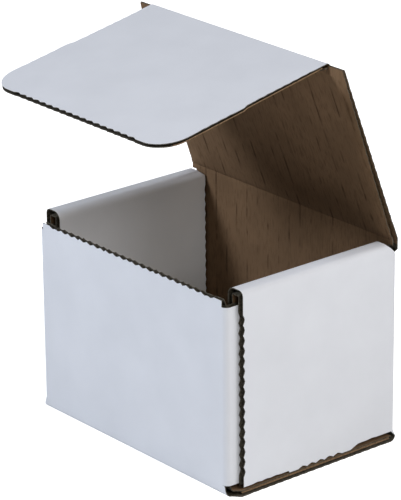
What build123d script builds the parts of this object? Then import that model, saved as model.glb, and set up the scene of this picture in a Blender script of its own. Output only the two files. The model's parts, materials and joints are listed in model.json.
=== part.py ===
from build123d import *
import os

os.makedirs("parts", exist_ok=True)

# A small corrugated mailer box, folded from one sheet of single-wall board.
# Millimetres. X runs along the front wall, Y from front to back, Z up.
# The origin is the middle of the base's underside.

# Board
board = 2.8  # thickness of the fluted board
liner = 0.4  # thickness of each flat face of the board
crease_outside = 2.4  # outside radius of a folded crease
layer_gap = 0.2  # air between layers that lie against each other

# Flutes, open to view along the cut edges
flute_pitch = 6.5  # one wave of the fluting
flute_wide = 4.4  # mouth of a flute along the liner that it is open to
flute_narrow = 1.2  # mouth along the other liner
flute_depth = 7.0  # depth of a flute's open mouth
side_groove = 1.2  # depth of the open flute along an edge that runs with the flutes

# Marks of the toothed cutting rule along the cut edges
tooth_pitch = 4.05
nick_width = 2.2
nick_depth = 0.5

# Box body
outer_length = 121.0  # across the two outer side panels
outer_depth = 84.8  # front wall to back wall
side_height = 84.0  # floor to the top of the rolled-over sides
front_drop = 3.6  # front wall's top edge below the rolled sides
corner_drop = 2.6  # corner flap's top edge below the front wall's
corner_flap_depth = 46.0  # length of a corner flap, hidden between the side layers
slot_play = 0.2  # room on each face of the tuck flap in its slot

# Side panels
foot_front = -13.5  # Y where the foot of an outer panel begins
foot_back = 18.5  # Y where the foot ends
foot_slope = 4.0  # length of the slope behind the foot
front_lift = 0.8  # outer panel's bottom edge above its foot, in front
back_lift = 1.6  # the same, behind
seat_gap = 0.2  # air under the foot and round the lock tab
lock_tab_length = 36.0  # lock tab of an inner panel, seated in the base
back_corner_cut = 5.2  # slanted cut at the top back corner of a rolled side
back_edge_gap = 0.6  # inner panel's back edge to the back wall

# Lid and tuck flap
lid_overhang = 0.0  # lid beyond the outer side panels, on each side
lid_clearance = 0.1  # closed lid above the rolled sides
hinge_gap = 0.25  # crease bead to the panel that turns round it
flap_side_play = 1.6  # tuck flap to the corner flap beside it
flap_floor_gap = 1.2  # tucked flap's edge above the base
shoulder_step = 0.9  # flap's wider outer half, on each side
shoulder_start = 40.0  # crease to the shoulder
shoulder_run = 2.4  # length of the shoulder's slope
flap_corner = 12.0  # rounded corners of the free edge

# Pose of the open box
lid_open = 69.0  # degrees up from closed
flap_bent = 80.0  # degrees that the flap is folded out of the lid's plane

# Sizes that follow
half_length = outer_length / 2
half_depth = outer_depth / 2
half_board = board / 2
front_height = side_height - front_drop
corner_top = front_height - corner_drop
flap_face = half_length - board - layer_gap
inner_face = half_length - 3 * board - 2 * layer_gap
fold_half = flap_face - crease_outside
side_front = -half_depth + 2 * board + 2 * slot_play
side_back = half_depth - board - back_edge_gap
panel_foot = board + seat_gap
front_bottom = panel_foot + front_lift
back_bottom = panel_foot + back_lift
roll_start = side_height - board
lid_width = outer_length + 2 * lid_overhang
hinge_y = half_depth - half_board
hinge_z = side_height + lid_clearance + half_board
tuck_y = -half_depth + board + slot_play + half_board
panel_start = half_board + hinge_gap
flap_length = hinge_z - board - flap_floor_gap
flap_tip_half = flap_face - board - flap_side_play
flap_root_half = flap_tip_half - shoulder_step
flute_height = board - 2 * liner
cut_reach = half_board + layer_gap / 2


def bent_board(*points):
    """Section of folded board: the points follow its outer face, with the board on their left."""
    face = make_face(offset(Polyline(*points), board, side=Side.LEFT, kind=Kind.INTERSECTION))
    creases = [face.vertices().sort_by_distance(point)[0] for point in points[1:-1]]
    return fillet(creases, crease_outside)


def both_sides(shape):
    """The right-hand shape and its mirror image on the left."""
    return shape + mirror(shape, about=Plane.YZ)


def tooth_nicks(middle, along, outward, length):
    """Row of V nicks along a cut edge. The middle lies half way through the board."""
    nick = Polygon((-nick_width, nick_depth), (nick_width, nick_depth), (0, -nick_depth), align=None)
    spots = GridLocations(tooth_pitch, 0, int(length / tooth_pitch), 1)
    row = Sketch() + [spot * nick for spot in spots]
    edge = Plane(middle, x_dir=along, z_dir=Vector(along).cross(Vector(outward)))
    return extrude(edge * row, cut_reach, both=True)


def flute_mouths(middle, along, inward, length):
    """Row of open flutes along an edge cut across them, wide and narrow side by turns."""
    low, high = -flute_height / 2, flute_height / 2
    half_wide, half_narrow = flute_wide / 2, flute_narrow / 2
    cell = Polygon(
        (-half_wide, low),
        (half_wide, low),
        (half_narrow, high),
        (-half_narrow, high),
        align=None,
    )
    count = int(length / flute_pitch)
    waves = [spot * cell for spot in GridLocations(flute_pitch, 0, count, 1)]
    waves += [spot * mirror(cell, about=Plane.XZ) for spot in GridLocations(flute_pitch, 0, count - 1, 1)]
    edge = Plane(middle, x_dir=along, z_dir=inward)
    return extrude(edge * (Sketch() + waves), flute_depth)


def open_flute(middle, along, inward, length):
    """Groove between the liners along an edge that runs with the flutes."""
    edge = Plane(middle, x_dir=along, z_dir=inward)
    return extrude(edge * Rectangle(length, flute_height), side_groove)


def side_edge(middle, along, outward, length):
    """All that a cut along the flutes leaves: the nicks and the open flute."""
    inward = Vector(outward) * -1
    return tooth_nicks(middle, along, outward, length) + open_flute(middle, along, inward, length)


def end_edge(middle, along, outward, length):
    """All that a cut across the flutes leaves: the nicks and the flutes' mouths."""
    inward = Vector(outward) * -1
    return tooth_nicks(middle, along, outward, length) + flute_mouths(middle, along, inward, length)


def base_panel():
    """Flat base, with a slot near each side for the lock tab of the inner panel."""
    depth = outer_depth - 2 * crease_outside
    panel = Box(outer_length, depth, board, align=(Align.CENTER, Align.CENTER, Align.MIN))
    slot = Box(
        board + 2 * seat_gap,
        lock_tab_length + 2 * seat_gap,
        board,
        align=(Align.CENTER, Align.CENTER, Align.MIN),
    )
    cuts = Pos(inner_face + half_board, 0, 0) * slot
    cuts += side_edge((half_length, 0, half_board), (0, 1, 0), (1, 0, 0), depth)
    return panel - both_sides(cuts)


def front_fold(top):
    """Section of the front wall up to a height, with its fold to the base."""
    return Plane.YZ * bent_board(
        (-half_depth, top),
        (-half_depth, 0),
        (-half_depth + crease_outside + board, 0),
    )


def front_wall():
    """Front wall with its open top edge. Its bottom fold runs on below the corner flaps."""
    wall = extrude(front_fold(front_height), fold_half, both=True)
    wall += extrude(front_fold(front_bottom), flap_face, both=True)
    return wall - end_edge((0, -half_depth + half_board, front_height), (1, 0, 0), (0, 0, 1), 2 * fold_half)


def corner_flap():
    """Flap folded back from the front wall's right edge, lying between the side's two layers."""
    section = bent_board(
        (fold_half - board, -half_depth),
        (flap_face, -half_depth),
        (flap_face, -half_depth + corner_flap_depth),
    )
    return Pos(0, 0, back_bottom) * extrude(section, corner_top - back_bottom)


def back_wall():
    """Back wall with its fold to the base, and the crease bead that the lid turns on."""
    section = bent_board(
        (half_depth - crease_outside - board, 0),
        (half_depth, 0),
        (half_depth, hinge_z),
    )
    wall = extrude(Plane.YZ * section, half_length - crease_outside, both=True)
    bead = Pos(0, hinge_y, hinge_z) * Rot(0, 90, 0) * Cylinder(half_board, lid_width)
    return wall + bead


def rolled_side():
    """Right side: outer panel, double crease over the top, and inner panel, from one section."""
    section = bent_board(
        (half_length, panel_foot),
        (half_length, side_height),
        (inner_face, side_height),
        (inner_face, panel_foot),
    )
    at_front = Plane((0, side_front, 0), x_dir=(1, 0, 0), z_dir=(0, -1, 0))
    side = extrude(at_front * section, side_front - side_back)
    back_fold = bent_board(
        (half_length, side_back - board),
        (half_length, half_depth),
        (half_length - crease_outside - board, half_depth),
    )
    side += Pos(0, 0, panel_foot) * extrude(back_fold, side_height - panel_foot)
    return side - foot_cuts() - back_top_cut() - side_cut_edges() + lock_tab()


def foot_cuts():
    """Cuts that raise the outer panel's bottom edge in front of and behind its foot."""
    front_cut = make_face(
        Polyline(
            (side_front, panel_foot),
            (foot_front, panel_foot),
            (foot_front, front_bottom),
            (side_front, front_bottom),
            close=True,
        )
    )
    back_cut = make_face(
        Polyline(
            (foot_back, panel_foot),
            (half_depth, panel_foot),
            (half_depth, back_bottom),
            (foot_back + foot_slope, back_bottom),
            close=True,
        )
    )
    at_panel = Plane.YZ.offset(flap_face)
    return extrude(at_panel * (front_cut + back_cut), half_length - flap_face)


def back_top_cut():
    """Slanted cut across the top back corner of a rolled side."""
    corner = make_face(
        Polyline(
            (half_depth - back_corner_cut, side_height),
            (half_depth, side_height - back_corner_cut),
            (half_depth, side_height),
            close=True,
        )
    )
    return extrude(Plane.YZ.offset(inner_face) * corner, half_length - inner_face)


def side_cut_edges():
    """Cut edges of a rolled side: both panels' front edges, the inner one's back edge, and the foot."""
    outer_x = half_length - half_board
    inner_x = inner_face + half_board
    tall = roll_start - back_bottom
    middle_z = (roll_start + back_bottom) / 2
    foot_middle = (foot_front + foot_back) / 2
    cuts = side_edge((outer_x, side_front, middle_z), (0, 0, 1), (0, -1, 0), tall)
    cuts += side_edge((inner_x, side_front, middle_z), (0, 0, 1), (0, -1, 0), tall)
    cuts += side_edge((inner_x, side_back, middle_z), (0, 0, 1), (0, 1, 0), tall - back_corner_cut)
    cuts += end_edge((outer_x, foot_middle, panel_foot), (0, 1, 0), (0, 0, -1), foot_back - foot_front)
    return cuts


def lock_tab():
    """Tab below the inner panel that drops into the base's slot."""
    tab = Box(board, lock_tab_length, board, align=(Align.MIN, Align.CENTER, Align.MIN))
    return Pos(inner_face, 0, seat_gap) * tab


def tray():
    """The box body, one folded solid."""
    sides = both_sides(rolled_side() + corner_flap())
    return base_panel() + front_wall() + back_wall() + sides


def lid():
    """Closed lid panel, with the crease bead that the tuck flap turns on."""
    depth = hinge_y - panel_start - tuck_y
    panel = Box(lid_width, depth, board, align=(Align.CENTER, Align.MIN, Align.CENTER))
    panel -= both_sides(side_edge((lid_width / 2, depth / 2, 0), (0, 1, 0), (1, 0, 0), depth))
    bead = Rot(0, 90, 0) * Cylinder(half_board, 2 * flap_root_half)
    return Pos(0, tuck_y, hinge_z) * (panel + bead)


def tuck_flap():
    """Tuck flap in the closed lid's plane, before it is folded: narrow root, shoulders, round tip."""
    root = -panel_start
    tip = -flap_length
    shoulder = -shoulder_start
    wide = shoulder - shoulder_run
    corner = tip + flap_corner
    outline = Polyline(
        (-flap_root_half, root),
        (-flap_root_half, shoulder),
        (-flap_tip_half, wide),
        (-flap_tip_half, tip),
        (flap_tip_half, tip),
        (flap_tip_half, wide),
        (flap_root_half, shoulder),
        (flap_root_half, root),
        close=True,
    )
    face = make_face(outline)
    tips = face.vertices().sort_by(Axis.Y)[:2]
    flap = extrude(fillet(tips, flap_corner), half_board, both=True)
    along, outward = (0, 1, 0), (1, 0, 0)
    edges = side_edge((flap_root_half, (root + shoulder) / 2, 0), along, outward, root - shoulder)
    edges += side_edge((flap_tip_half, (wide + corner) / 2, 0), along, outward, wide - corner)
    free_edge = end_edge((0, tip, 0), (1, 0, 0), (0, -1, 0), 2 * (flap_tip_half - flap_corner))
    return Pos(0, tuck_y, hinge_z) * (flap - both_sides(edges) - free_edge)


lid_axis = Axis((0, hinge_y, hinge_z), (1, 0, 0))
flap_axis = Axis((0, tuck_y, hinge_z), (1, 0, 0))
folded_flap = tuck_flap().rotate(flap_axis, flap_bent)

export_step(tray(), "parts/tray.step")
export_step(lid().rotate(lid_axis, -lid_open), "parts/lid.step")
export_step(folded_flap.rotate(lid_axis, -lid_open), "parts/tuck_flap.step")
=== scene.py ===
import json
import math
from types import SimpleNamespace

import bmesh
import bpy
from mathutils import Matrix, Vector


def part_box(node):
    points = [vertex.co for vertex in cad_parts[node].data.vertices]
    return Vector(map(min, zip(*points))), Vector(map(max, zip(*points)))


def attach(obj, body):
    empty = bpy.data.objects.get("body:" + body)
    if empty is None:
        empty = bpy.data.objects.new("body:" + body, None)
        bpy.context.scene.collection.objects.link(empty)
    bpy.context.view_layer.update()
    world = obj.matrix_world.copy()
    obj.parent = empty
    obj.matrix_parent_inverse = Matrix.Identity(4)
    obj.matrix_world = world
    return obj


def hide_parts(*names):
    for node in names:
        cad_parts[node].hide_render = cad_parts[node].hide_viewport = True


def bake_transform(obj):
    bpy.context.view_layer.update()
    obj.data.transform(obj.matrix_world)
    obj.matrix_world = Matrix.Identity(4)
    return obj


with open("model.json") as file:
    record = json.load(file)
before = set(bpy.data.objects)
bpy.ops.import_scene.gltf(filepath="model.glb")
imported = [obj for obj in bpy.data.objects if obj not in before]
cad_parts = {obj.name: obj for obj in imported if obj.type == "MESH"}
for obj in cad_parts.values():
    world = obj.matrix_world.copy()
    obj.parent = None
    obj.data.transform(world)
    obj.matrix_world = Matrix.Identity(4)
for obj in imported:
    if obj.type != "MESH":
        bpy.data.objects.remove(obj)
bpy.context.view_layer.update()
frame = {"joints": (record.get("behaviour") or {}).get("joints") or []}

# Sizes, in metres. X runs along the front wall, Y from front to back, Z up.
MM = 0.001
tray_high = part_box("tray")[1]
axis_of = {joint["name"]: Vector(joint["pos_m"]) for joint in frame["joints"]}
LID_AXIS = axis_of["lid_hinge"]
FLAP_AXIS = axis_of["flap_hinge"]

# Board: two liners with a fluted sheet between them
BOARD = 2.8 * MM
LINER = 0.38 * MM
FLUTE_PAPER = 0.2 * MM
FLUTE_PITCH = 6.5 * MM
FLUTE_STEPS = 12
FLUTE_SWING = BOARD / 2 - LINER - FLUTE_PAPER / 2
CREASE = 2.4 * MM
LAYER_GAP = 0.2 * MM
KRAFT_DEPTH = BOARD - LINER
MID_DEPTH = BOARD / 2

# Nicks of the toothed cutting rule. A few steps at each end of an edge stay plain.
TOOTH_PITCH = 4.05 * MM
TOOTH_STEPS = 4
PLAIN_STEPS = 4
NICKED_FROM = 8 * MM
WALL_NICK = 0.85 * MM
FREE_NICK = 0.75 * MM
INNER_NICK = 0.45 * MM
SHALLOW_NICK = 0.25 * MM
NICK_SIDE = 0.6
# Steps of a tooth that are nicked, and how much of the depth they get
NICK_SHAPE = (((2,), 1), ((1, 3), NICK_SIDE))

# Box body
HALF_LENGTH = tray_high.x
HALF_DEPTH = tray_high.y
LID_CLEARANCE = 0.1 * MM
SIDE_TOP = LID_AXIS.z - BOARD / 2 - LID_CLEARANCE
FRONT_DROP = 3.6 * MM
FRONT_TOP = SIDE_TOP - FRONT_DROP
CORNER_DROP = 2.6 * MM
CORNER_TOP = FRONT_TOP - CORNER_DROP
CORNER_FLAP_DEPTH = 46 * MM
FLAP_FACE = HALF_LENGTH - BOARD - LAYER_GAP
INNER_FACE = HALF_LENGTH - 3 * BOARD - 2 * LAYER_GAP
SLOT_PLAY = 0.2 * MM
SIDE_FRONT = -HALF_DEPTH + 2 * BOARD + 2 * SLOT_PLAY
BACK_EDGE_GAP = 0.6 * MM
SIDE_BACK = HALF_DEPTH - BOARD - BACK_EDGE_GAP
SEAT_GAP = 0.2 * MM
PANEL_FOOT = BOARD + SEAT_GAP
FOOT_FRONT = -13.5 * MM
FOOT_BACK = 18.5 * MM
FOOT_SLOPE = 4 * MM
FOOT_STEP = 0.25 * MM
FRONT_LIFT = 0.8 * MM
BACK_LIFT = 1.6 * MM
BACK_BOTTOM = PANEL_FOOT + BACK_LIFT
BACK_CORNER_CUT = 5.2 * MM
BACK_CUT_Y = HALF_DEPTH - BACK_CORNER_CUT
BACK_CUT_Z = SIDE_TOP - BACK_CORNER_CUT
FOLD_SLIT = 0.06 * MM
FOLD_TOP = BACK_BOTTOM - FOLD_SLIT
NOTCH_HALF = FLAP_FACE - CREASE
FOLD_END = 1 * MM
FOLD_END_HALF = NOTCH_HALF + FOLD_END
CORNER_TRIM = 2.6 * MM
ROLL_OUTSIDE = 2.2 * MM
ROLL_INSIDE = 3.4 * MM

# Lid and tuck flap, laid out as when the lid is closed
LID_OPEN = math.atan2(FLAP_AXIS.z - LID_AXIS.z, LID_AXIS.y - FLAP_AXIS.y)
FLAP_BENT = math.radians(80)
LID_SPAN = (FLAP_AXIS - LID_AXIS).length
LID_TOP = LID_AXIS.z + MID_DEPTH
TUCK_Y = LID_AXIS.y - LID_SPAN
TUCK_AXIS = Vector((0, TUCK_Y, LID_AXIS.z))
CREASE_REACH = 2.2 * MM
WALL_TOP = LID_AXIS.z - CREASE_REACH
LID_FRONT = TUCK_Y + CREASE_REACH
LID_BACK = LID_AXIS.y - CREASE_REACH
FLAP_FLOOR_GAP = 1.2 * MM
FLAP_LENGTH = LID_AXIS.z - BOARD - FLAP_FLOOR_GAP
FLAP_ROOT = TUCK_Y - CREASE_REACH
FLAP_TIP = TUCK_Y - FLAP_LENGTH
FLAP_TIP_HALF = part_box("tuck_flap")[1].x
SHOULDER_STEP = 0.9 * MM
FLAP_ROOT_HALF = FLAP_TIP_HALF - SHOULDER_STEP
SHOULDER_START = 40 * MM
SHOULDER_RUN = 2.4 * MM
SHOULDER = TUCK_Y - SHOULDER_START
FLAP_CORNER = 12 * MM
CORNER_CUTS = [math.radians(angle) for angle in (22.5, 45, 67.5)]
FLUTE_SET = 1.2 * MM
BASE_FLUTE_SET = 0.4 * MM

# Cut edges of the front wall, the lid and the flap, pinched thinner
PINCH_RUN = 2.5 * MM
PINCH_SET = 0.45 * MM
WALL_PINCH = 1.1 * MM
LID_PINCH = 1.8 * MM
FLAP_PINCH = 1.2 * MM
ROOT_PINCH = 1.5 * MM
CREASE_PINCH = 1.2 * MM

# Creases of the lid and of the tuck flap
CREASE_STEPS = 10
VALLEY_SOFT = 0.3 * MM
VALLEY_DEPTH = 0.93

# Rounding, and tests of place, angle and direction
FOLD_SEGMENTS = 5
CORNER_SEGMENTS = 12
SMOOTH_ANGLE = math.radians(30)
CLOSE = 0.01 * MM
SHARP = 0.5
FACING = 0.9
SIDEWAYS = 0.75

# Colours and relief of the papers
WHITE_BRIGHT = (0.80, 0.82, 0.85)
WHITE_DULL = (0.76, 0.78, 0.81)
WHITE_GRAIN = 0.03 * MM
KRAFT_LIGHT = (0.225, 0.140, 0.078)
KRAFT_DARK = (0.18, 0.112, 0.062)
KRAFT_FIBRE = (0.155, 0.096, 0.053)
KRAFT_STREAK = (0.088, 0.053, 0.029)
KRAFT_GRAIN = 0.05 * MM
RAW_LIGHT = (0.32, 0.21, 0.12)
RAW_DARK = (0.16, 0.103, 0.06)
# The raw paper made darker as painted shade, for cut edges, fluting and hidden sides where shade falls
PAINTED_SHADE_PAPER_LIGHT = (0.14, 0.125, 0.095)
PAINTED_SHADE_PAPER_DARK = (0.045, 0.039, 0.03)
ROUGH_GRAIN = 0.08 * MM

# The Mix node's sockets for colours, which share their names with its other sockets
MIX_FIRST = 6
MIX_SECOND = 7
MIX_RESULT = 2

# Studio
PHOTO_HEIGHT = 500
FOCAL_PIXELS = 3144
SENSOR = 36
CAMERA_TURN = math.radians(50.42)
CAMERA_LIFT = math.radians(20.99)
CAMERA_ROLL = math.radians(-0.58)
CAMERA_DISTANCE = 1238 * MM
CAMERA_REACH = 20
AIM_SIDE = -5.15 * MM
AIM_HEIGHT = 74.09 * MM
DOME_COLOUR = (0.95, 0.97, 1)
DOME_STRENGTH = 0.03
FLOOR_SIZE = 6
FLOOR_GAP = 0.05 * MM
FLOOR_COLOUR = (0.8, 0.8, 0.8)
FLOOR_GLOW = 0.9
LAMP_DISTANCE = 1.2
# Soft lights: name, compass angle from the front and height angle in degrees, size, power, colour
LAMPS = [
    ("right_light", 72, 30, 0.5, 2.9, (1, 0.98, 0.93)),
    ("far_right_light", 110, 45, 0.5, 4.7, (0.97, 0.95, 1)),
    ("low_right_light", 110, 20, 0.5, 2.7, (1, 0.98, 0.96)),
    ("key_light", -23, 32, 0.26, 8.5, (0.84, 0.89, 1)),
    ("back_light", 215, 12, 0.5, 4.5, (0.97, 0.98, 1)),
]


# Modelling by hand

def begin_plane(name, centre, size_x, size_y):
    """A flat rectangle, left in edit mode, from which the rest of a sheet is folded."""
    bpy.ops.object.select_all(action="DESELECT")
    bpy.ops.mesh.primitive_plane_add(size=1, location=centre)
    obj = bpy.context.object
    obj.name = name
    obj.scale = (size_x, size_y, 1)
    bpy.ops.object.transform_apply(location=True, rotation=True, scale=True)
    bpy.ops.object.mode_set(mode="EDIT")
    return obj


def begin_edge(name, start, end):
    """One straight edge, left selected in edit mode, to sweep a strip from."""
    side = 1
    left, right = (Vector((x, -side / 2, 0)) for x in (-side / 2, side / 2))
    obj = begin_plane(name, (0, 0, 0), side, side)
    pick(obj, "VERT", lambda vert: vert.co.y > 0)
    bpy.ops.mesh.delete(type="VERT")
    pick(obj, "VERT", lambda vert: vert.co.x < 0)
    move(start - left)
    pick(obj, "VERT", lambda vert: (vert.co - start).length > CLOSE)
    move(end - right)
    pick(obj, "EDGE", lambda edge: True)
    return obj


def pick(obj, kind, test):
    """Selects only the vertices, edges or faces of the edited mesh that pass the test."""
    bpy.ops.mesh.select_mode(type=kind)
    bpy.ops.mesh.select_all(action="DESELECT")
    mesh = bmesh.from_edit_mesh(obj.data)
    mesh.normal_update()
    for part in {"VERT": mesh.verts, "EDGE": mesh.edges, "FACE": mesh.faces}[kind]:
        if test(part):
            part.select_set(True)
    mesh.select_flush_mode()
    bmesh.update_edit_mesh(obj.data)


def pick_all():
    bpy.ops.mesh.select_all(action="SELECT")


def middle(part):
    """Middle of an edge or a face."""
    return sum((vert.co for vert in part.verts), Vector()) / len(part.verts)


def near(a, b):
    return abs(a - b) < CLOSE


def is_level(edge, x, z):
    """Whether an edge runs from front to back at that height and at that distance to either side."""
    return all(near(abs(vert.co.x), x) and near(vert.co.z, z) for vert in edge.verts)


def extrude(x, y, z):
    bpy.ops.mesh.extrude_region_move(TRANSFORM_OT_translate={"value": (x, y, z)})


def move(step):
    bpy.ops.transform.translate(value=tuple(step))


def turn(angle, centre):
    """Turns what is selected about a line along X. A positive angle lifts the front."""
    bpy.ops.transform.rotate(value=angle, orient_axis="X", center_override=tuple(centre))


def widen(share):
    """Makes what is selected wider or narrower about the middle of the box."""
    bpy.ops.transform.resize(value=(share, 1, 1), center_override=(0, 0, 0))


def cut(point, normal, trim=False):
    """Cuts the selected faces along a plane, and clears what lies beyond it if asked."""
    bpy.ops.mesh.bisect(plane_co=point, plane_no=normal, clear_outer=trim)


def cut_both_sides(x):
    """Cuts the whole sheet at that distance to the left and to the right."""
    for place in (-x, x):
        pick_all()
        cut((place, 0, 0), (1, 0, 0))


def fold_creases(obj, radius, test):
    """Rounds the folds of the edited sheet that pass the test."""
    pick(obj, "EDGE", lambda edge: edge.calc_face_angle(0) > SHARP and test(edge))
    bpy.ops.mesh.bevel(offset=radius, segments=FOLD_SEGMENTS, affect="EDGES")


def tooth_edges(obj, is_crease, nick_at):
    """Nicks every long free edge of the edited sheet, apart from those that go on into a crease."""
    mesh = bmesh.from_edit_mesh(obj.data)
    mesh.normal_update()
    runs = []
    for edge in mesh.edges:
        if edge.is_boundary and edge.calc_length() > NICKED_FROM and not is_crease(middle(edge)):
            face = edge.link_faces[0]
            start, end = (vert.co.copy() for vert in edge.verts)
            inward = face.normal.cross(end - start).normalized()
            if inward.dot(face.calc_center_median() - start) < 0:
                inward.negate()
            runs.append((start, end, inward * nick_at(middle(edge))))
    for start, end, inward in runs:
        nick_edge(obj, start, end, inward)


def nick_edge(obj, start, end, inward):
    """Nicks one straight free edge. A nick is deepest at its middle step, and less deep beside it."""
    length = (end - start).length
    along = (end - start) / length
    steps = TOOTH_STEPS * int(length / TOOTH_PITCH)

    def is_run(edge):
        one, two = (vert.co for vert in edge.verts)
        here = (one - start).length < CLOSE and (two - end).length < CLOSE
        return here or (two - start).length < CLOSE and (one - end).length < CLOSE

    def is_step(vert, nicked):
        place = (vert.co - start).dot(along)
        on_edge = (vert.co - start - place * along).length < CLOSE
        step = round(place / length * steps)
        return on_edge and PLAIN_STEPS < step < steps - PLAIN_STEPS and step % TOOTH_STEPS in nicked

    pick(obj, "EDGE", is_run)
    bpy.ops.mesh.subdivide(number_cuts=steps - 1)
    for nicked, share in NICK_SHAPE:
        pick(obj, "VERT", lambda vert: is_step(vert, nicked))
        move(inward * share)


def thicken(obj, thickness, finishes, offset=-1):
    """Gives a sheet its thickness, below its outer face or about its middle.

    Its materials are those of its outer face, its inner face and its cut edges.
    """
    bpy.ops.object.mode_set(mode="OBJECT")
    for finish in finishes:
        obj.data.materials.append(finish)
    shell = obj.modifiers.new("thickness", "SOLIDIFY")
    shell.thickness = thickness
    shell.offset = offset
    shell.material_offset = 1
    shell.material_offset_rim = 2
    bpy.ops.object.modifier_apply(modifier=shell.name)
    bpy.ops.object.shade_smooth_by_angle(angle=SMOOTH_ANGLE)


# The tray's folded sheet

def tray_lines(depth):
    """Where the tray's sheet runs at a depth below the board's outer face."""
    half_y = HALF_DEPTH - depth
    corner_x = FLAP_FACE - depth
    return SimpleNamespace(
        depth=depth,
        half_y=half_y,
        base_front=min(half_y, HALF_DEPTH - CREASE),
        corner_x=corner_x,
        notch_x=min(NOTCH_HALF, corner_x - LINER),
        side_x=HALF_LENGTH - depth,
        inner_x=INNER_FACE + depth,
        roll_z=SIDE_TOP - depth,
    )


def folded_tray(name, depth):
    """The tray's one sheet at a depth below the board's outer face, folded and cut."""
    at = tray_lines(depth)
    obj = tray_base(name, at)
    fold_front_wall(obj, at)
    fold_corner_flaps(obj, at)
    fold_back_wall(obj, at)
    fold_outer_panels(obj, at)
    roll_sides(obj, at)
    cut_feet(obj, at)
    pick_all()
    bpy.ops.mesh.normals_make_consistent(inside=False)
    if depth < CREASE:
        fold_creases(obj, ROLL_OUTSIDE, lambda edge: is_level(edge, at.side_x, at.roll_z))
        fold_creases(obj, ROLL_INSIDE, lambda edge: is_level(edge, at.inner_x, at.roll_z))
        fold_creases(obj, CREASE - CLOSE, lambda edge: middle(edge).z < BACK_CUT_Z)
    tooth_edges(obj, lambda place: near(place.z, WALL_TOP), tray_nick)
    return obj


def tray_base(name, at):
    """Base, divided where the walls leave it, with trimmed front corners."""
    centre = (0, (at.half_y - at.base_front) / 2, at.depth)
    obj = begin_plane(name, centre, 2 * HALF_LENGTH, at.half_y + at.base_front)
    for x in (FLAP_FACE, at.side_x):
        if x < HALF_LENGTH - CLOSE:
            cut_both_sides(x)
    pick(obj, "VERT", lambda vert: near(abs(vert.co.x), HALF_LENGTH) and near(vert.co.y, -at.base_front))
    move((0, CORNER_TRIM, 0))
    return obj


def fold_front_wall(obj, at):
    """Front wall. Its bottom fold runs on below the corner flaps, to slanted ends."""
    def on_base_front(edge):
        return near(middle(edge).y, -at.base_front) and abs(middle(edge).x) < FLAP_FACE

    def on_fold_top(edge):
        return near(middle(edge).z, FOLD_TOP) and abs(middle(edge).x) < at.notch_x - CLOSE

    pick(obj, "EDGE", on_base_front)
    if at.base_front < at.half_y:
        extrude(0, at.base_front - at.half_y, 0)
    extrude(0, 0, FOLD_TOP - at.depth)
    for x in (-at.notch_x, at.notch_x):
        pick(obj, "FACE", lambda face: abs(face.normal.y) > FACING)
        cut((x, 0, 0), (1, 0, 0))
    pick(obj, "EDGE", on_fold_top)
    extrude(0, 0, BACK_BOTTOM - FOLD_TOP)
    extrude(0, 0, CORNER_TOP - BACK_BOTTOM)
    extrude(0, 0, FRONT_TOP - CORNER_TOP)
    if at.depth:
        move((0, -WALL_PINCH, 0))
    pick(obj, "VERT", lambda vert: near(abs(vert.co.x), FLAP_FACE) and near(vert.co.z, FOLD_TOP))
    widen(FOLD_END_HALF / FLAP_FACE)


def fold_corner_flaps(obj, at):
    """Corner flaps, folded back from the two ends of the front wall."""
    def on_wall_end(edge, side):
        place = middle(edge)
        return near(place.x, side * at.notch_x) and BACK_BOTTOM < place.z < CORNER_TOP

    for side in (-1, 1):
        pick(obj, "EDGE", lambda edge: on_wall_end(edge, side))
        extrude(side * (at.corner_x - at.notch_x), 0, 0)
        extrude(0, CORNER_FLAP_DEPTH - at.depth, 0)


def fold_back_wall(obj, at):
    """Back wall, up to the lid's crease."""
    pick(obj, "EDGE", lambda edge: near(middle(edge).y, at.half_y) and abs(middle(edge).x) < at.side_x)
    extrude(0, 0, BACK_BOTTOM - at.depth)
    extrude(0, 0, BACK_CUT_Z - BACK_BOTTOM)
    extrude(0, 0, WALL_TOP - BACK_CUT_Z)


def cut_outer_panels(obj, at, y):
    """Cuts both outer side panels from top to bottom."""
    def is_outer(face):
        return near(abs(middle(face).x), at.side_x) and abs(face.normal.x) > FACING

    pick(obj, "FACE", is_outer)
    cut((0, y, 0), (0, 1, 0))


def fold_outer_panels(obj, at):
    """Outer side panels, with the slanted cut at their top back corner."""
    slant = [(BACK_CUT_Y, at.roll_z), (BACK_CUT_Y, BACK_CUT_Z), (at.half_y, BACK_CUT_Z)]

    def on_back_corner(edge):
        place = middle(edge)
        upright = near(edge.verts[0].co.x, edge.verts[1].co.x)
        between = BACK_BOTTOM < place.z < BACK_CUT_Z
        return upright and between and near(abs(place.x), at.side_x) and near(place.y, at.half_y)

    def on_slant(vert, side):
        at_corner = any(near(vert.co.y, y) and near(vert.co.z, z) for y, z in slant)
        return at_corner and near(vert.co.x, side * at.side_x)

    pick(obj, "EDGE", on_back_corner)
    extrude(0, SIDE_FRONT - at.half_y, 0)
    cut_outer_panels(obj, at, BACK_CUT_Y)
    pick(obj, "EDGE", lambda edge: is_level(edge, at.side_x, BACK_CUT_Z) and middle(edge).y < BACK_CUT_Y)
    extrude(0, 0, at.roll_z - BACK_CUT_Z)
    for side in (-1, 1):
        pick(obj, "VERT", lambda vert: on_slant(vert, side))
        bpy.ops.mesh.edge_face_add()


def roll_sides(obj, at):
    """Rolls over the top of the sides, and the inner panels that hang from them."""
    def on_inner_back(edge):
        return near(abs(middle(edge).x), at.inner_x) and near(middle(edge).y, BACK_CUT_Y)

    for side in (-1, 1):
        pick(obj, "EDGE", lambda edge: is_level(edge, at.side_x, at.roll_z) and side * middle(edge).x > 0)
        extrude(side * (at.inner_x - at.side_x), 0, 0)
        extrude(0, 0, PANEL_FOOT - at.roll_z)
    pick(obj, "EDGE", on_inner_back)
    extrude(0, SIDE_BACK - BACK_CUT_Y, 0)
    pick(obj, "VERT", lambda vert: near(vert.co.y, SIDE_BACK) and near(vert.co.z, at.roll_z))
    move((0, 0, BACK_CUT_Y - SIDE_BACK))


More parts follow.
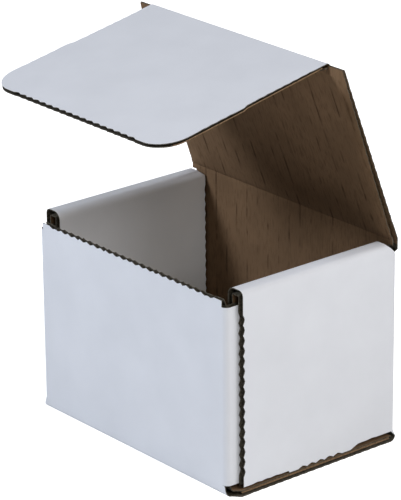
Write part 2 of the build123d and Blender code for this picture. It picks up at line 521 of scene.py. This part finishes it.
def cut_feet(obj, at):
    """Foot of each outer panel. The panel's bottom edge is higher in front of it and behind it."""
    step_front = FOOT_FRONT - FOOT_STEP
    step_back = FOOT_FRONT + FOOT_STEP

    def on_bottom(vert, low, high):
        outer = near(abs(vert.co.x), at.side_x) and near(vert.co.z, BACK_BOTTOM)
        return outer and low - CLOSE < vert.co.y < high + CLOSE

    for y in (step_front, step_back, FOOT_BACK, FOOT_BACK + FOOT_SLOPE):
        cut_outer_panels(obj, at, y)
    pick(obj, "VERT", lambda vert: on_bottom(vert, SIDE_FRONT, step_front))
    move((0, 0, FRONT_LIFT - BACK_LIFT))
    pick(obj, "VERT", lambda vert: on_bottom(vert, step_back, FOOT_BACK))
    move((0, 0, -BACK_LIFT))


def tray_nick(place):
    """Depth of the nicks along an edge of the tray that has its middle there."""
    if near(place.y, SIDE_BACK):
        return INNER_NICK
    above = place.z > BACK_BOTTOM + CLOSE
    return WALL_NICK if above or near(place.z, PANEL_FOOT) else SHALLOW_NICK


# The lid and the tuck flap

def raise_lid():
    """Turns the whole edited sheet up to the lid's open place."""
    pick_all()
    turn(LID_OPEN, LID_AXIS)


def fold_flap():
    """Folds the whole edited sheet down from the lid, and turns it up with the lid."""
    pick_all()
    turn(-FLAP_BENT, TUCK_AXIS)
    turn(LID_OPEN, LID_AXIS)


def draw_in(half_width):
    """Draws the selected rim in a little from the sides, to make room for its pinch."""
    widen(1 - PINCH_SET / half_width)


def lid_sheet(name, depth):
    """The lid's flat sheet at a depth below its outer face, turned up to its open place."""
    centre = (0, (LID_FRONT + LID_BACK) / 2, LID_TOP - depth)
    obj = begin_plane(name, centre, 2 * HALF_LENGTH, LID_BACK - LID_FRONT)
    cut_both_sides(FLAP_ROOT_HALF)
    pick(obj, "EDGE", lambda edge: near(middle(edge).y, LID_FRONT) and abs(middle(edge).x) > FLAP_ROOT_HALF)
    extrude(0, -CREASE_REACH, 0)
    if depth:
        cut_both_sides(HALF_LENGTH - PINCH_RUN)
        rim = HALF_LENGTH - PINCH_SET
        pick(obj, "VERT", lambda vert: near(abs(vert.co.x), HALF_LENGTH))
        draw_in(HALF_LENGTH)
        pick(obj, "VERT", lambda vert: near(abs(vert.co.x), rim) and near(vert.co.y, LID_FRONT))
        move((0, 0, LID_PINCH))
        pick(obj, "VERT", lambda vert: vert.co.y < LID_FRONT - CLOSE)
        move((0, 0, LID_PINCH))
    tooth_edges(
        obj,
        lambda place: near(place.y, LID_FRONT) or near(place.y, LID_BACK),
        lambda place: SHALLOW_NICK,
    )
    raise_lid()
    return obj


def flap_sheet(name, depth):
    """The tuck flap's flat sheet, folded down from the lid and turned up with it."""
    centre = (0, (FLAP_ROOT + SHOULDER) / 2, LID_TOP - depth)
    obj = begin_plane(name, centre, 2 * FLAP_ROOT_HALF, FLAP_ROOT - SHOULDER)
    pick(obj, "EDGE", lambda edge: near(middle(edge).y, SHOULDER))
    extrude(0, -SHOULDER_RUN, 0)
    widen(FLAP_TIP_HALF / FLAP_ROOT_HALF)
    extrude(0, FLAP_TIP - SHOULDER + SHOULDER_RUN, 0)
    pick(obj, "VERT", lambda vert: near(vert.co.y, FLAP_TIP))
    bpy.ops.mesh.bevel(offset=FLAP_CORNER, segments=CORNER_SEGMENTS, affect="VERTICES")
    if depth:
        pick_all()
        bpy.ops.mesh.inset(thickness=PINCH_RUN, use_boundary=True)
        pick(obj, "VERT", lambda vert: vert.is_boundary)
        draw_in(FLAP_TIP_HALF)
        pick(obj, "VERT", lambda vert: vert.is_boundary and vert.co.y < FLAP_ROOT - CLOSE)
        move((0, 0, FLAP_PINCH))
        pick(obj, "VERT", lambda vert: vert.is_boundary and vert.co.y > FLAP_ROOT - CLOSE)
        move((0, 0, ROOT_PINCH))
    tooth_edges(
        obj,
        lambda place: near(place.y, FLAP_ROOT),
        lambda place: FREE_NICK if near(place.y, FLAP_TIP) else SHALLOW_NICK,
    )
    fold_flap()
    return obj


# Creases between the back wall, the lid and the flap, bent to the lid's and the flap's open angles

def crease_path(depth, fold):
    """Section of a liner through a crease, round the origin.

    It comes in along -Y and is folded down by the angle.
    """
    radius = MID_DEPTH - depth
    onward = Vector((0, -math.cos(fold), -math.sin(fold)))
    outward = Vector((0, -math.sin(fold), math.cos(fold)))
    if radius > 0:
        turns = [fold * step / CREASE_STEPS for step in range(CREASE_STEPS + 1)]
        bend = [Vector((0, -math.sin(angle), math.cos(angle))) * radius for angle in turns]
    else:
        valley = -radius * math.tan(fold / 2)
        bend = [
            Vector((0, valley + VALLEY_SOFT, radius)),
            Vector((0, valley, radius)) * VALLEY_DEPTH,
            outward * radius + onward * (valley + VALLEY_SOFT),
        ]
    return [Vector((0, CREASE_REACH, radius)), *bend, outward * radius + onward * CREASE_REACH]


def crease_strip(name, half_width, depth, fold):
    """A liner's strip through a crease, left in edit mode."""
    path = crease_path(depth, fold)
    side = Vector((half_width, 0, 0))
    obj = begin_edge(name, path[0] - side, path[0] + side)
    for here, there in zip(path, path[1:]):
        extrude(*(there - here))
    pick_all()
    if bmesh.from_edit_mesh(obj.data).faces[:][0].normal.z < 0:
        bpy.ops.mesh.flip_normals()
    return obj


def lid_crease(name, depth, finishes):
    """Strip from the back wall to the lid."""
    obj = crease_strip(name, HALF_LENGTH, depth, math.pi / 2 - LID_OPEN)
    turn(math.pi / 2, (0, 0, 0))
    move(LID_AXIS)
    thicken(obj, LINER, finishes)
    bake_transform(obj)
    return obj


def tuck_crease(name, depth, finishes):
    """Strip from the lid to the tuck flap."""
    def on_pinched_side(vert):
        return near(abs(vert.co.x), FLAP_ROOT_HALF) and vert.co.y < CREASE_REACH - CLOSE

    obj = crease_strip(name, FLAP_ROOT_HALF, depth, FLAP_BENT)
    if depth:
        cut_both_sides(FLAP_ROOT_HALF - PINCH_RUN)
        pick(obj, "VERT", on_pinched_side)
        move(CREASE_PINCH * Vector((0, -math.sin(FLAP_BENT / 2), math.cos(FLAP_BENT / 2))))
        pick_all()
    move(TUCK_AXIS)
    raise_lid()
    thicken(obj, LINER, finishes)
    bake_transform(obj)
    return obj


# The fluted sheet inside the board

def flute_sheet(name, length, height, finish, corner=0, pinched=0):
    """A fluted sheet standing at the origin: it waves along X, centred, and Y is its thickness.

    Its two lower corners can be rounded, and its lower edge can be pinched flatter towards -Y.
    """
    waves = int(length / FLUTE_PITCH) + 1
    left = -waves * FLUTE_PITCH / 2
    obj = begin_edge(name, Vector((left, FLUTE_SWING, 0)), Vector((left, FLUTE_SWING, height)))
    here = FLUTE_SWING
    for step in range(1, FLUTE_STEPS + 1):
        there = FLUTE_SWING * math.cos(2 * math.pi * step / FLUTE_STEPS)
        extrude(FLUTE_PITCH / FLUTE_STEPS, there - here, 0)
        here = there
    bpy.ops.object.mode_set(mode="OBJECT")
    row = obj.modifiers.new("row", "ARRAY")
    row.count = waves
    row.use_relative_offset = False
    row.use_constant_offset = True
    row.constant_offset_displace = (FLUTE_PITCH, 0, 0)
    row.use_merge_vertices = True
    row.merge_threshold = CLOSE
    bpy.ops.object.modifier_apply(modifier=row.name)
    bpy.ops.object.mode_set(mode="EDIT")
    for side in (-1, 1):
        pick_all()
        cut((side * length / 2, 0, 0), (side, 0, 0), trim=True)
        centre = Vector((side * (length / 2 - corner), 0, corner))
        for angle in CORNER_CUTS if corner else ():
            outward = Vector((side * math.sin(angle), 0, -math.cos(angle)))
            pick_all()
            cut(tuple(centre + outward * corner), tuple(outward), trim=True)
    if pinched:
        pick_all()
        cut((0, 0, PINCH_RUN), (0, 0, 1))
        pick(obj, "VERT", lambda vert: vert.co.z < PINCH_RUN - CLOSE)
        flatter = 1 - pinched / (2 * FLUTE_SWING)
        bpy.ops.transform.resize(value=(1, flatter, 1), center_override=(0, -FLUTE_SWING, 0))
    thicken(obj, FLUTE_PAPER, (finish,), offset=0)
    return obj


def set_down(obj, place, turned=(0, 0, 0)):
    """Turns and moves a finished piece, and keeps its place in its mesh."""
    obj.rotation_euler = turned
    obj.location = place
    bpy.ops.object.transform_apply(location=True, rotation=True, scale=True)


def tray_fluting():
    """The fluted sheet of the tray, panel by panel between the creases."""
    quarter = math.pi / 2
    wall_foot = CREASE + LINER
    sheets = []

    # The walls' fluting is darkened with painted shade. The base's fluting stays plain raw paper.
    def panel(length, low, high, place, turned=(0, 0, 0), finish=painted_shade_paper):
        sheet = flute_sheet("fluting", length, high - low, finish)
        set_down(sheet, place, turned)
        sheets.append(sheet)

    front_y = -HALF_DEPTH + MID_DEPTH
    panel(2 * NOTCH_HALF - LINER, wall_foot, CORNER_TOP, (0, front_y, wall_foot))
    panel(2 * (HALF_LENGTH - CREASE), wall_foot, WALL_TOP, (0, -front_y, wall_foot))
    base_back = HALF_DEPTH - wall_foot
    base_front = CORNER_TRIM - base_back
    base_length = 2 * (HALF_LENGTH - BASE_FLUTE_SET)
    panel(base_length, base_front, base_back, (0, base_front, MID_DEPTH), (-quarter, 0, 0), raw)
    roll_foot = SIDE_TOP - wall_foot
    outer_back = HALF_DEPTH - wall_foot - BACK_CORNER_CUT / 2
    corner_back = -HALF_DEPTH + CORNER_FLAP_DEPTH
    for side in (-1, 1):
        for x, front, back, low, high in (
            (HALF_LENGTH - MID_DEPTH, SIDE_FRONT, outer_back, BACK_BOTTOM, roll_foot),
            (INNER_FACE + MID_DEPTH, SIDE_FRONT, SIDE_BACK, PANEL_FOOT, roll_foot),
            (FLAP_FACE - MID_DEPTH, -HALF_DEPTH + wall_foot, corner_back, BACK_BOTTOM, CORNER_TOP),
        ):
            panel(
                back - front - 2 * FLUTE_SET,
                low + FLUTE_SET,
                high - FLUTE_SET,
                (side * x, (front + back) / 2, low + FLUTE_SET),
                (0, 0, quarter),
            )
    bpy.ops.object.select_all(action="DESELECT")
    for sheet in sheets:
        sheet.select_set(True)
    bpy.context.view_layer.objects.active = sheets[0]
    bpy.ops.object.join()
    sheets[0].name = "tray_fluting"
    return sheets[0]


def lid_fluting():
    """The fluted sheet of the lid."""
    width = 2 * (HALF_LENGTH - PINCH_RUN)
    obj = flute_sheet("lid_fluting", width, LID_BACK - LID_FRONT, raw)
    set_down(obj, (0, LID_BACK, LID_AXIS.z), (math.pi / 2, 0, 0))
    bpy.ops.object.mode_set(mode="EDIT")
    raise_lid()
    bpy.ops.object.mode_set(mode="OBJECT")
    return obj


def flap_fluting():
    """The fluted sheet of the tuck flap."""
    tip = FLAP_TIP + FLUTE_SET
    width = 2 * (FLAP_ROOT_HALF - PINCH_RUN)
    # The flap's fluting is darkened with painted shade
    obj = flute_sheet("flap_fluting", width, FLAP_ROOT - tip, painted_shade_paper, FLAP_CORNER, FLAP_PINCH)
    set_down(obj, (0, tip, LID_AXIS.z), (-math.pi / 2, 0, 0))
    bpy.ops.object.mode_set(mode="EDIT")
    fold_flap()
    bpy.ops.object.mode_set(mode="OBJECT")
    return obj


# Materials

def new_finish(name, roughness, gloss):
    """A material with its shader, and the Object coordinates that its patterns read."""
    material = bpy.data.materials.new(name)
    material.use_nodes = True
    nodes = material.node_tree.nodes
    shader = nodes["Principled BSDF"]
    shader.inputs["Roughness"].default_value = roughness
    shader.inputs["Specular IOR Level"].default_value = gloss
    return material, shader, nodes.new("ShaderNodeTexCoord").outputs["Object"]


def add(material, kind, inputs, **settings):
    """A node with its settings. Its inputs are given values, or linked to other nodes' outputs."""
    node = material.node_tree.nodes.new(kind)
    for name, value in settings.items():
        setattr(node, name, value)
    for name, source in inputs.items():
        if isinstance(source, bpy.types.NodeSocket):
            material.node_tree.links.new(source, node.inputs[name])
        else:
            node.inputs[name].default_value = source
    return node


def noise(material, place, scale, detail, stretch=(1, 1, 1)):
    """Cloudy pattern over the piece, finer along some axes than along others."""
    mapping = add(material, "ShaderNodeMapping", {"Vector": place, "Scale": stretch})
    inputs = {"Vector": mapping.outputs["Vector"], "Scale": scale, "Detail": detail}
    return add(material, "ShaderNodeTexNoise", inputs).outputs["Fac"]


def rise(material, value, low, high):
    """Goes from 0 to 1 as a value goes from low to high."""
    inputs = {"Value": value, "From Min": low, "From Max": high}
    return add(material, "ShaderNodeMapRange", inputs).outputs["Result"]


def compute(material, operation, one, two=0.0):
    """One step of arithmetic."""
    return add(material, "ShaderNodeMath", {0: one, 1: two}, operation=operation).outputs[0]


def blend_colours(material, factor, one, two):
    """Goes from one colour to another as a factor goes from 0 to 1."""
    ends = [end if isinstance(end, bpy.types.NodeSocket) else (*end, 1) for end in (one, two)]
    inputs = {"Factor": factor, MIX_FIRST: ends[0], MIX_SECOND: ends[1]}
    return add(material, "ShaderNodeMix", inputs, data_type="RGBA").outputs[MIX_RESULT]


def colour_by(material, shader, colour):
    """Lets a pattern give a finish its colour."""
    material.node_tree.links.new(colour, shader.inputs["Base Color"])


def raise_grain(material, shader, height, distance):
    """Small relief of the surface."""
    bump = add(material, "ShaderNodeBump", {"Height": height, "Distance": distance, "Strength": 1})
    material.node_tree.links.new(bump.outputs["Normal"], shader.inputs["Normal"])


def white_finish():
    """Bleached outer liner: nearly even white, faintly clouded, with fine fibres."""
    material, shader, place = new_finish("white_liner", roughness=0.72, gloss=0.2)
    clouds = rise(material, noise(material, place, scale=45, detail=3), low=0.3, high=0.7)
    fibres = noise(material, place, scale=900, detail=4)
    colour_by(material, shader, blend_colours(material, clouds, WHITE_DULL, WHITE_BRIGHT))
    raise_grain(material, shader, fibres, WHITE_GRAIN)
    return material


def kraft_finish():
    """Brown inner liner: fibres along the flutes, and broken dark streaks over them."""
    material, shader, place = new_finish("kraft_liner", roughness=0.85, gloss=0.05)
    clouds = rise(material, noise(material, place, scale=60, detail=4), low=0.3, high=0.7)
    fibres = noise(material, place, scale=260, detail=5, stretch=(6, 1, 1))
    patches = noise(material, place, scale=190, detail=2, stretch=(1, 0.7, 0.7))
    breaks = rise(material, patches, low=0.47, high=0.66)
    across = add(material, "ShaderNodeSeparateXYZ", {"Vector": place}).outputs["X"]
    wave = compute(material, "COSINE", compute(material, "MULTIPLY", across, 2 * math.pi / FLUTE_PITCH))
    streak = compute(material, "MULTIPLY", rise(material, wave, low=0.8, high=1), breaks)
    paper = blend_colours(material, clouds, KRAFT_DARK, KRAFT_LIGHT)
    grained = blend_colours(material, rise(material, fibres, low=0.3, high=0.52), KRAFT_FIBRE, paper)
    colour_by(material, shader, blend_colours(material, streak, grained, KRAFT_STREAK))
    raise_grain(material, shader, fibres, KRAFT_GRAIN)
    return material


def rough_finish(name, dark, light):
    """Rough paper: the fluted sheet and the liners' hidden sides. Its darker copy is that same paper with
    painted shade, used on the cut edges and on the fluting and hidden sides that lie in shade.
    """
    material, shader, place = new_finish(name, roughness=0.9, gloss=0.05)
    fibres = noise(material, place, scale=1100, detail=4)
    specks = rise(material, fibres, low=0.3, high=0.7)
    colour_by(material, shader, blend_colours(material, specks, dark, light))
    raise_grain(material, shader, fibres, ROUGH_GRAIN)
    return material


# Pieces

def bare_sides(obj):
    """Leaves the cut edges at a sheet's two sides as raw paper."""
    obj.data.materials.append(raw)
    for face in obj.data.polygons:
        if abs(face.normal.x) > SIDEWAYS:
            face.material_index = len(obj.data.materials) - 1


def carry(obj, body, node):
    """Lets a body carry a piece that stands for one of its nodes."""
    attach(obj, body)
    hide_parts(node)


white = white_finish()
kraft = kraft_finish()
raw = rough_finish("raw_paper", RAW_DARK, RAW_LIGHT)
# The same rough paper, darkened as painted shade for the places that lie in shade
painted_shade_paper = rough_finish("paper_painted_shade", PAINTED_SHADE_PAPER_DARK, PAINTED_SHADE_PAPER_LIGHT)

# Every cut edge, and the tray's and the flap's hidden sides and fluting, get the paper with painted shade
for body, node, liner, fluting, behind_white in (
    ("tray", "tray", folded_tray, tray_fluting, painted_shade_paper),
    ("lid", "lid", lid_sheet, lid_fluting, raw),
    ("flap", "tuck_flap", flap_sheet, flap_fluting, painted_shade_paper),
):
    outer = liner(body + "_white_liner", 0)
    thicken(outer, LINER, (white, behind_white, painted_shade_paper))
    inner = liner(body + "_kraft_liner", KRAFT_DEPTH)
    thicken(inner, LINER, (painted_shade_paper, kraft, painted_shade_paper))
    if body == "flap":
        bare_sides(inner)
    core = fluting()
    for piece, slot in ((outer, "white_board"), (inner, "kraft_board"), (core, "kraft_board")):
        carry(piece, body, node)

# The creases' cut edges get the paper with painted shade
for crease in (lid_crease, tuck_crease):
    crease(crease.__name__ + "_white", 0, (white, raw, painted_shade_paper))
    crease(crease.__name__ + "_kraft", KRAFT_DEPTH, (raw, kraft, painted_shade_paper))


# Studio

def direction(turned, lift):
    """Direction away from the box at a compass angle from the front and a height angle."""
    return Vector((
        math.sin(turned) * math.cos(lift),
        -math.cos(turned) * math.cos(lift),
        math.sin(lift),
    ))


def place_camera():
    """The camera at the photo's viewing angle."""
    back = direction(CAMERA_TURN, CAMERA_LIFT)
    right = Vector((math.cos(CAMERA_TURN), math.sin(CAMERA_TURN), 0))
    up = back.cross(right)
    level = Matrix((right, up, back)).transposed()
    aim = right * AIM_SIDE + Vector((0, 0, AIM_HEIGHT))
    data = bpy.data.cameras.new("camera")
    data.sensor_width = SENSOR
    data.lens = FOCAL_PIXELS / PHOTO_HEIGHT * SENSOR
    data.clip_end = CAMERA_REACH
    camera = bpy.data.objects.new("camera", data)
    bpy.context.scene.collection.objects.link(camera)
    tilt = level @ Matrix.Rotation(CAMERA_ROLL, 3, "Z")
    camera.matrix_world = Matrix.Translation(aim + back * CAMERA_DISTANCE) @ tilt.to_4x4()
    bpy.context.scene.camera = camera


def soft_box(name, turned, lift, size, power, colour):
    """A square soft light that looks at the box from a compass angle and a height angle."""
    data = bpy.data.lights.new(name, "AREA")
    data.shape = "SQUARE"
    data.size = size
    data.energy = power
    data.color = colour
    lamp = bpy.data.objects.new(name, data)
    bpy.context.scene.collection.objects.link(lamp)
    back = direction(math.radians(turned), math.radians(lift))
    lamp.location = back * LAMP_DISTANCE + Vector((0, 0, AIM_HEIGHT))
    lamp.rotation_euler = back.to_track_quat("Z", "Y").to_euler()


def white_to_camera(tree, light, backdrop, output):
    """Shows the backdrop to the camera and in reflections, and lights the box by the other shader."""
    path = tree.nodes.new("ShaderNodeLightPath")
    seen = tree.nodes.new("ShaderNodeMath")
    seen.operation = "MAXIMUM"
    tree.links.new(path.outputs["Is Camera Ray"], seen.inputs[0])
    tree.links.new(path.outputs["Is Glossy Ray"], seen.inputs[1])
    mix = tree.nodes.new("ShaderNodeMixShader")
    tree.links.new(seen.outputs[0], mix.inputs["Fac"])
    tree.links.new(light.outputs[0], mix.inputs[1])
    tree.links.new(backdrop.outputs[0], mix.inputs[2])
    tree.links.new(mix.outputs[0], output.inputs["Surface"])


def light_studio():
    """Soft lights round the box, weak light from all sides, and a white background."""
    world = bpy.data.worlds.new("studio")
    bpy.context.scene.world = world
    world.use_nodes = True
    tree = world.node_tree
    dome = tree.nodes["Background"]
    dome.inputs["Color"].default_value = (*DOME_COLOUR, 1)
    dome.inputs["Strength"].default_value = DOME_STRENGTH
    backdrop = tree.nodes.new("ShaderNodeBackground")
    backdrop.inputs["Color"].default_value = (1, 1, 1, 1)
    white_to_camera(tree, dome, backdrop, tree.nodes["World Output"])
    for lamp in LAMPS:
        soft_box(*lamp)


def lay_floor():
    """Pale floor that shows white, apart from the box's shadow."""
    bpy.ops.object.select_all(action="DESELECT")
    bpy.ops.mesh.primitive_plane_add(size=FLOOR_SIZE, location=(0, 0, -FLOOR_GAP))
    floor = bpy.context.object
    floor.name = "floor"
    bpy.ops.object.transform_apply(location=True, rotation=True, scale=True)
    material = bpy.data.materials.new("floor")
    material.use_nodes = True
    tree = material.node_tree
    paper = tree.nodes["Principled BSDF"]
    paper.inputs["Base Color"].default_value = (*FLOOR_COLOUR, 1)
    paper.inputs["Roughness"].default_value = 1
    paper.inputs["Specular IOR Level"].default_value = 0
    glow = tree.nodes.new("ShaderNodeEmission")
    glow.inputs["Strength"].default_value = FLOOR_GLOW
    lit = tree.nodes.new("ShaderNodeAddShader")
    tree.links.new(paper.outputs[0], lit.inputs[0])
    tree.links.new(glow.outputs[0], lit.inputs[1])
    white_to_camera(tree, paper, lit, tree.nodes["Material Output"])
    floor.data.materials.append(material)


place_camera()
light_studio()
lay_floor()
bpy.context.scene.view_settings.view_transform = "Standard"
